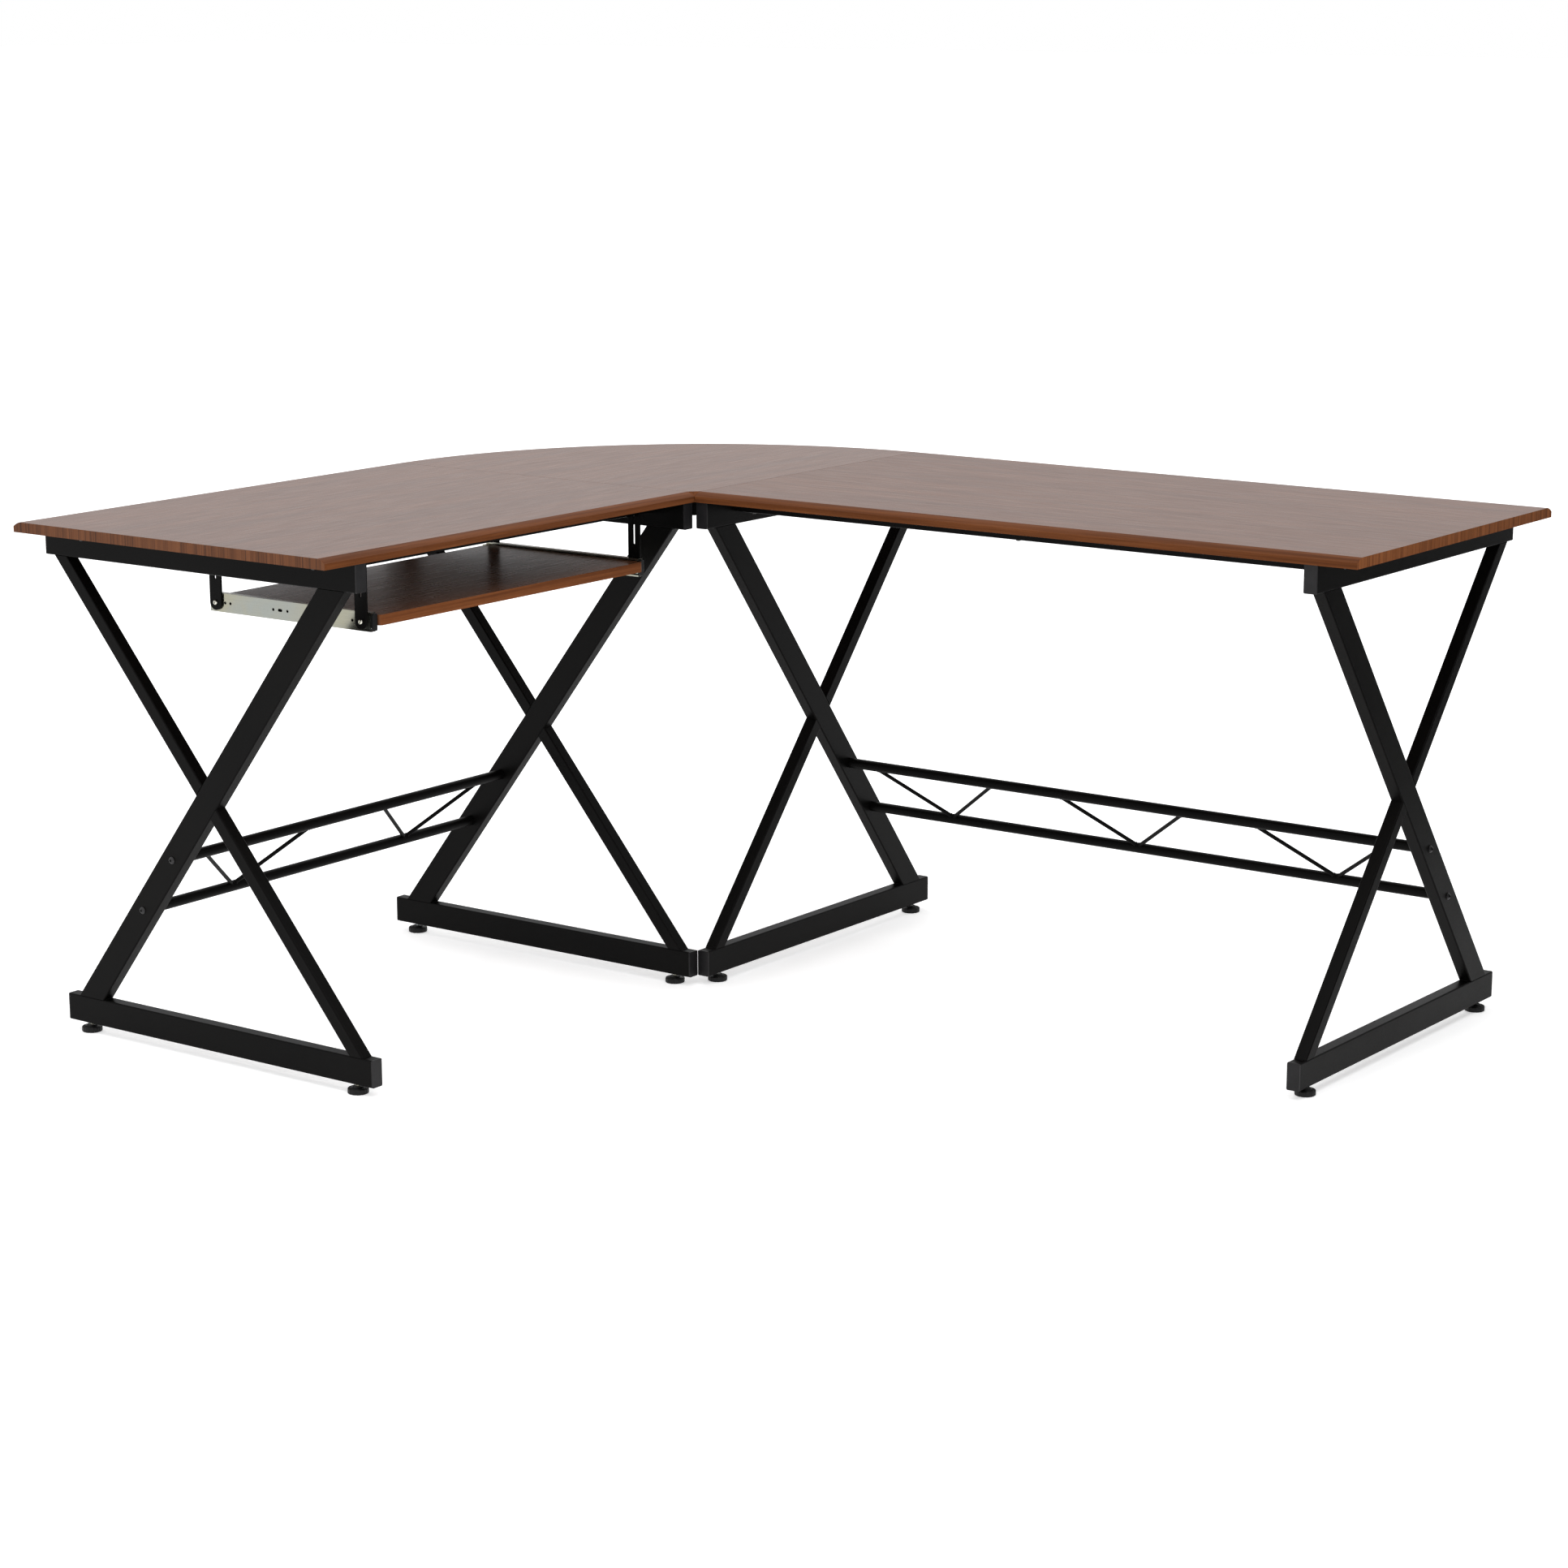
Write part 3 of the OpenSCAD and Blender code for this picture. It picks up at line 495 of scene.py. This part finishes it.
def bead(bm, start, end):
    """A rippled weld bead from one point to another."""
    run = end - start
    ripples = 2 * round(run.length / BEAD_R)
    profile = [(0, 0)]
    for k in range(ripples + 1):
        swell = 0.45 if k in (0, ripples) else 0.84 + 0.16 * (k % 2)
        profile.append((BEAD_R * swell, run.length * k / ripples))
    lathe(bm, profile + [(0, run.length)], 14, aimed(start, run))


def add_welds(name, bm):
    piece = make_piece(bm, name, [BLACK])
    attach(piece, "desk_frame")


def frame_welds(f):
    """Beads across the frame wherever a leg's end meets a rail."""
    along, across = (0, 1) if f.startswith("left") else (1, 0)
    bm = bmesh.new()
    for leg in (f + "_wide_leg", f + "_narrow_leg"):
        low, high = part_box(leg)
        for z in (low.z, high.z):
            ring = [v.co[along] for v in NODES[leg].data.vertices if abs(v.co.z - z) < 0.1 * MM]
            for u in (min(ring), max(ring)):
                start, end = Vector((0, 0, z)), Vector((0, 0, z))
                start[along] = end[along] = u
                start[across] = low[across] + BEAD_INSET
                end[across] = high[across] - BEAD_INSET
                bead(bm, start, end)
    add_welds(f + "_welds", bm)


def rod_welds(side):
    """A collar of weld round both ends of each bracing rod."""
    rods = cad_mesh(side + "_brace_rods")
    bm = bmesh.new()
    for group in islands(rods):
        middle = sum((v.co.z for v in group)) / len(group)
        ends = []
        lower = [v.co for v in group if v.co.z < middle]
        upper = [v.co for v in group if v.co.z >= middle]
        for half in (lower, upper):
            ends.append(sum(half, Vector()) / len(half))
        radius = max((v.co - ends[0]).cross((ends[1] - ends[0]).normalized()).length for v in group)
        collar = [(0, -1.0 * MM), (radius, -1.0 * MM), (radius + 1.0 * MM, 0),
                  (radius + 0.7 * MM, 0.7 * MM), (radius, 1.5 * MM), (0, 1.5 * MM)]
        for start, other in (ends, ends[::-1]):
            lathe(bm, collar, 24, aimed(start, other - start))
    rods.free()
    add_welds(side + "_rod_welds", bm)


for f in FRAMES:
    frame_welds(f)
for side in ("left", "right"):
    rod_welds(side)

# ---------------------------------------------------------------- cross-head screws

NUT_RATIO = 1.25
CROSS_WIDTH, CROSS_LENGTH, CROSS_DEPTH = 0.28, 1.25, 0.6
SCREW_PITCH, SCREW_POINT, SCREW_STEPS, SCREW_SPIN = 0.8 * MM, 0.7 * MM, 40, 0.65
screw_meshes = {}


def measure_screw(points):
    """Where a screw's head sits, which way it points, and its head and shank sizes; None for a nut."""
    low = Vector([min(p[i] for p in points) for i in range(3)])
    high = Vector([max(p[i] for p in points) for i in range(3)])
    size = high - low
    axis = max(range(3), key=lambda i: size[i])
    if size[axis] < NUT_RATIO * sorted(size)[1]:
        return None
    centre = (low + high) / 2

    def off_axis(p):
        return math.hypot(*(p[i] - centre[i] for i in range(3) if i != axis))

    head_r = max(off_axis(p) for p in points)
    rim = [p[axis] for p in points if off_axis(p) > 0.95 * head_r]
    shank_r = max(off_axis(p) for p in points if off_axis(p) < 0.9 * head_r)
    toward = 1 if max(rim) < centre[axis] else -1
    direction = Vector([toward if i == axis else 0 for i in range(3)])
    seat = centre.copy()
    seat[axis] = max(rim) if toward > 0 else min(rim)
    head_h = max(rim) - min(rim)
    return seat, direction, tuple(round(v, 5) for v in (head_r, head_h, shank_r, size[axis] - head_h))


def cross_head_screw(head_r, head_h, shank_r, length):
    """Pan-head screw with a cross recess: head on z < 0, threaded shank along +Z."""
    bm = bmesh.new()
    head = [(0, -head_h), (0.55 * head_r, -head_h), (0.84 * head_r, -0.86 * head_h),
            (head_r, -0.45 * head_h), (head_r, -0.1 * head_h), (0.95 * head_r, 0), (shank_r, 0)]
    shank = thread(shank_r, 0, length - SCREW_POINT, SCREW_PITCH)
    lathe(bm, head + shank + [(0.4 * shank_r, length), (0, length)], SCREW_STEPS)
    screw = bpy.data.objects.new("screw_blank", bpy.data.meshes.new("screw_blank"))
    bm.to_mesh(screw.data)
    bm.free()
    cutters = []
    for turn in (0, math.pi / 2):
        slot = bmesh.new()
        bmesh.ops.create_cube(slot, size=1.0)
        for v in slot.verts:
            narrow = 1.0 if v.co.z < 0 else 0.6
            v.co = Vector((v.co.x * CROSS_LENGTH * head_r * narrow,
                           v.co.y * CROSS_WIDTH * head_r * narrow,
                           v.co.z * 2 * CROSS_DEPTH * head_h - head_h))
        bmesh.ops.rotate(slot, verts=slot.verts, matrix=Matrix.Rotation(turn, 3, "Z"))
        cutter = bpy.data.objects.new("cross_cutter", bpy.data.meshes.new("cross_cutter"))
        slot.to_mesh(cutter.data)
        slot.free()
        cut = screw.modifiers.new("recess", "BOOLEAN")
        cut.object = cutter
        cut.operation = "DIFFERENCE"
        cutters.append(cutter)
    for piece in (screw, *cutters):
        bpy.context.scene.collection.objects.link(piece)
    mesh = bpy.data.meshes.new_from_object(screw.evaluated_get(bpy.context.evaluated_depsgraph_get()))
    for piece in (screw, *cutters):
        bpy.data.objects.remove(piece)
    return mesh


def screws(node, material):
    """Puts a cross-head screw in place of each plain one; the nuts keep their CAD shape."""
    bm = cad_mesh(node)
    plain, spots = [], []
    for group in islands(bm):
        spot = measure_screw([v.co for v in group])
        if spot:
            plain += group
            spots.append(spot)
    bmesh.ops.delete(bm, geom=plain, context="VERTS")
    if bm.verts:
        ease(bm, 0.2 * MM)
    for k, (seat, direction, sizes) in enumerate(spots):
        if sizes not in screw_meshes:
            screw_meshes[sizes] = cross_head_screw(*sizes)
        screw = screw_meshes[sizes].copy()
        screw.transform(aimed(seat, direction, SCREW_SPIN * k))
        bm.from_mesh(screw)
        bpy.data.meshes.remove(screw)
    stand_in(make_piece(bm, node + "_finished", [material]), node)


for node in ("beam_screws", "corner_bracket_screws"):
    screws(node, OXIDE)
for node in ("hanger_screws", "slide_bolts", "tray_screws"):
    screws(node, ZINC_BOLT)

# ---------------------------------------------------------------- levelling feet

FOOT_PAD = [(0, 0.6), (11.0, 0.6), (11.6, 0), (13.6, 0), (14.6, 0.5), (15.0, 1.5),
            (15.0, 6.4), (14.7, 7.3), (14.0, 7.9), (12.8, 8.1), (12.4, 7.6), (11.6, 7.6),
            (11.2, 8.2), (9.2, 8.5), (8.4, 9.0), (8.0, 10.0), (7.4, 10.5), (3.2, 10.5), (0, 10.5)]
FOOT_FLUTES, FLUTE_DEPTH = 12, 0.7 * MM
STUD_R, STUD_START, STUD_PITCH = 3.0 * MM, 9.5 * MM, 1.0 * MM


def foot(node):
    """Moulded pad with a grooved top and a fluted rim, and its zinc-plated threaded stud."""
    low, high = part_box(node)
    base = Matrix.Translation(((low.x + high.x) / 2, (low.y + high.y) / 2, low.z))
    bm = bmesh.new()
    lathe(bm, [(r * MM, z * MM) for r, z in FOOT_PAD], 144, base, FOOT_FLUTES, FLUTE_DEPTH)
    stand_in(make_piece(bm, node + "_pad", [FOOT]), node)
    bm = bmesh.new()
    top = high.z - low.z
    ridges = thread(STUD_R, STUD_START, top - STUD_PITCH, STUD_PITCH)
    lathe(bm, [(0, STUD_START)] + ridges + [(0.7 * STUD_R, top), (0, top)], 32, base)
    stud = make_piece(bm, node + "_stud", [ZINC_BOLT])
    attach(stud, body_of(node))


for node in sorted(n for n in NODES if n.startswith(("foot_left", "foot_right"))):
    foot(node)

# ---------------------------------------------------------------- stage, lights, camera


FLOOR_HALF, FLOOR_GLOW = 60, 0.42
FLAG_X, FLAG_Y, FLAG_TOP = 1.3, (0.1, 2.6), 0.72
HORIZON, ZENITH, SKY_STRENGTH = (0.46, 0.46, 0.47, 1), (1.0, 1.0, 1.0, 1), 1.55
CAMERA_AT = (3.0986, -4.2443, 1.5127)
CAMERA_TURN, CAMERA_DIP, CAMERA_ROLL = math.radians(36.245), math.radians(13.504), math.radians(-0.088)


def make_floor():
    bm = bmesh.new()
    bmesh.ops.create_grid(bm, x_segments=8, y_segments=8, size=FLOOR_HALF)
    mesh = bpy.data.meshes.new("studio_floor")
    bm.to_mesh(mesh)
    bm.free()
    g = Graph("floor_paint", Specular_IOR_Level=0.15, Roughness=0.9, Emission_Strength=FLOOR_GLOW)
    g.shader.inputs["Emission Color"].default_value = (1, 1, 1, 1)
    g.paint(g.ramp(g.noise(g.coords, 0.6, 2, 0.5), [(0.3, (0.90,) * 3), (0.7, (0.92,) * 3)]))
    mesh.materials.append(g.material)
    floor = bpy.data.objects.new("studio_floor", mesh)
    bpy.context.scene.collection.objects.link(floor)


def make_flag():
    """A black card beyond the right end, hidden from the camera, for the end frame's faces to mirror."""
    bm = bmesh.new()
    corners = [(FLAG_Y[0], 0), (FLAG_Y[1], 0), (FLAG_Y[1], FLAG_TOP), (FLAG_Y[0], FLAG_TOP)]
    bm.faces.new([bm.verts.new((FLAG_X, y, z)) for y, z in corners])
    mesh = bpy.data.meshes.new("black_flag")
    bm.to_mesh(mesh)
    bm.free()
    g = Graph("flag_cloth", Specular_IOR_Level=0.0, Roughness=1.0)
    g.paint(g.ramp(g.noise(g.coords, 3, 2, 0.5), [(0.3, (0.010,) * 3), (0.7, (0.016,) * 3)]))
    mesh.materials.append(g.material)
    flag = bpy.data.objects.new("black_flag", mesh)
    flag.visible_camera = False
    bpy.context.scene.collection.objects.link(flag)


def make_world():
    """Soft light that brightens towards the zenith, behind plain white for the camera."""
    world = bpy.data.worlds.new("studio")
    bpy.context.scene.world = world
    world.use_nodes = True
    tree = world.node_tree
    tree.nodes.clear()
    output = tree.nodes.new("ShaderNodeOutputWorld")
    coords = tree.nodes.new("ShaderNodeTexCoord")
    split = tree.nodes.new("ShaderNodeSeparateXYZ")
    ramp = tree.nodes.new("ShaderNodeValToRGB")
    light = tree.nodes.new("ShaderNodeBackground")
    white = tree.nodes.new("ShaderNodeBackground")
    pick = tree.nodes.new("ShaderNodeMixShader")
    path = tree.nodes.new("ShaderNodeLightPath")
    tree.links.new(coords.outputs["Generated"], split.inputs[0])
    tree.links.new(split.outputs["Z"], ramp.inputs["Fac"])
    elements = ramp.color_ramp.elements
    elements[0].position, elements[0].color = 0.0, HORIZON
    elements[1].position, elements[1].color = 1.0, ZENITH
    tree.links.new(ramp.outputs["Color"], light.inputs["Color"])
    light.inputs["Strength"].default_value = SKY_STRENGTH
    white.inputs["Color"].default_value = (1, 1, 1, 1)
    tree.links.new(path.outputs["Is Camera Ray"], pick.inputs[0])
    tree.links.new(light.outputs[0], pick.inputs[1])
    tree.links.new(white.outputs[0], pick.inputs[2])
    tree.links.new(pick.outputs[0], output.inputs["Surface"])


def make_light(name, place, target, size, power):
    """A rectangular soft light at a place, turned towards its target."""
    data = bpy.data.lights.new(name, "AREA")
    data.shape = "RECTANGLE"
    data.size, data.size_y = size
    data.energy = power
    lamp = bpy.data.objects.new(name, data)
    lamp.location = place
    lamp.rotation_euler = (Vector(target) - Vector(place)).to_track_quat("-Z", "Y").to_euler()
    bpy.context.scene.collection.objects.link(lamp)


def make_camera():
    data = bpy.data.cameras.new("camera")
    data.sensor_width = 36
    data.lens = 84.60
    data.shift_y = 0.0487
    data.clip_start, data.clip_end = 0.1, 400
    camera = bpy.data.objects.new("camera", data)
    camera.location = CAMERA_AT
    turn = (Matrix.Rotation(CAMERA_TURN, 4, "Z") @ Matrix.Rotation(math.pi / 2 - CAMERA_DIP, 4, "X")
            @ Matrix.Rotation(CAMERA_ROLL, 4, "Z"))
    camera.rotation_euler = turn.to_euler()
    bpy.context.scene.collection.objects.link(camera)
    bpy.context.scene.camera = camera


make_floor()
make_flag()
make_world()
make_light("overhead_softbox", (0.6, -0.6, 3.6), (0.0, 0.0, 0.4), (3.2, 3.2), 26)
make_camera()
bpy.context.scene.view_settings.view_transform = "Standard"
bpy.context.scene.view_settings.look = "None"
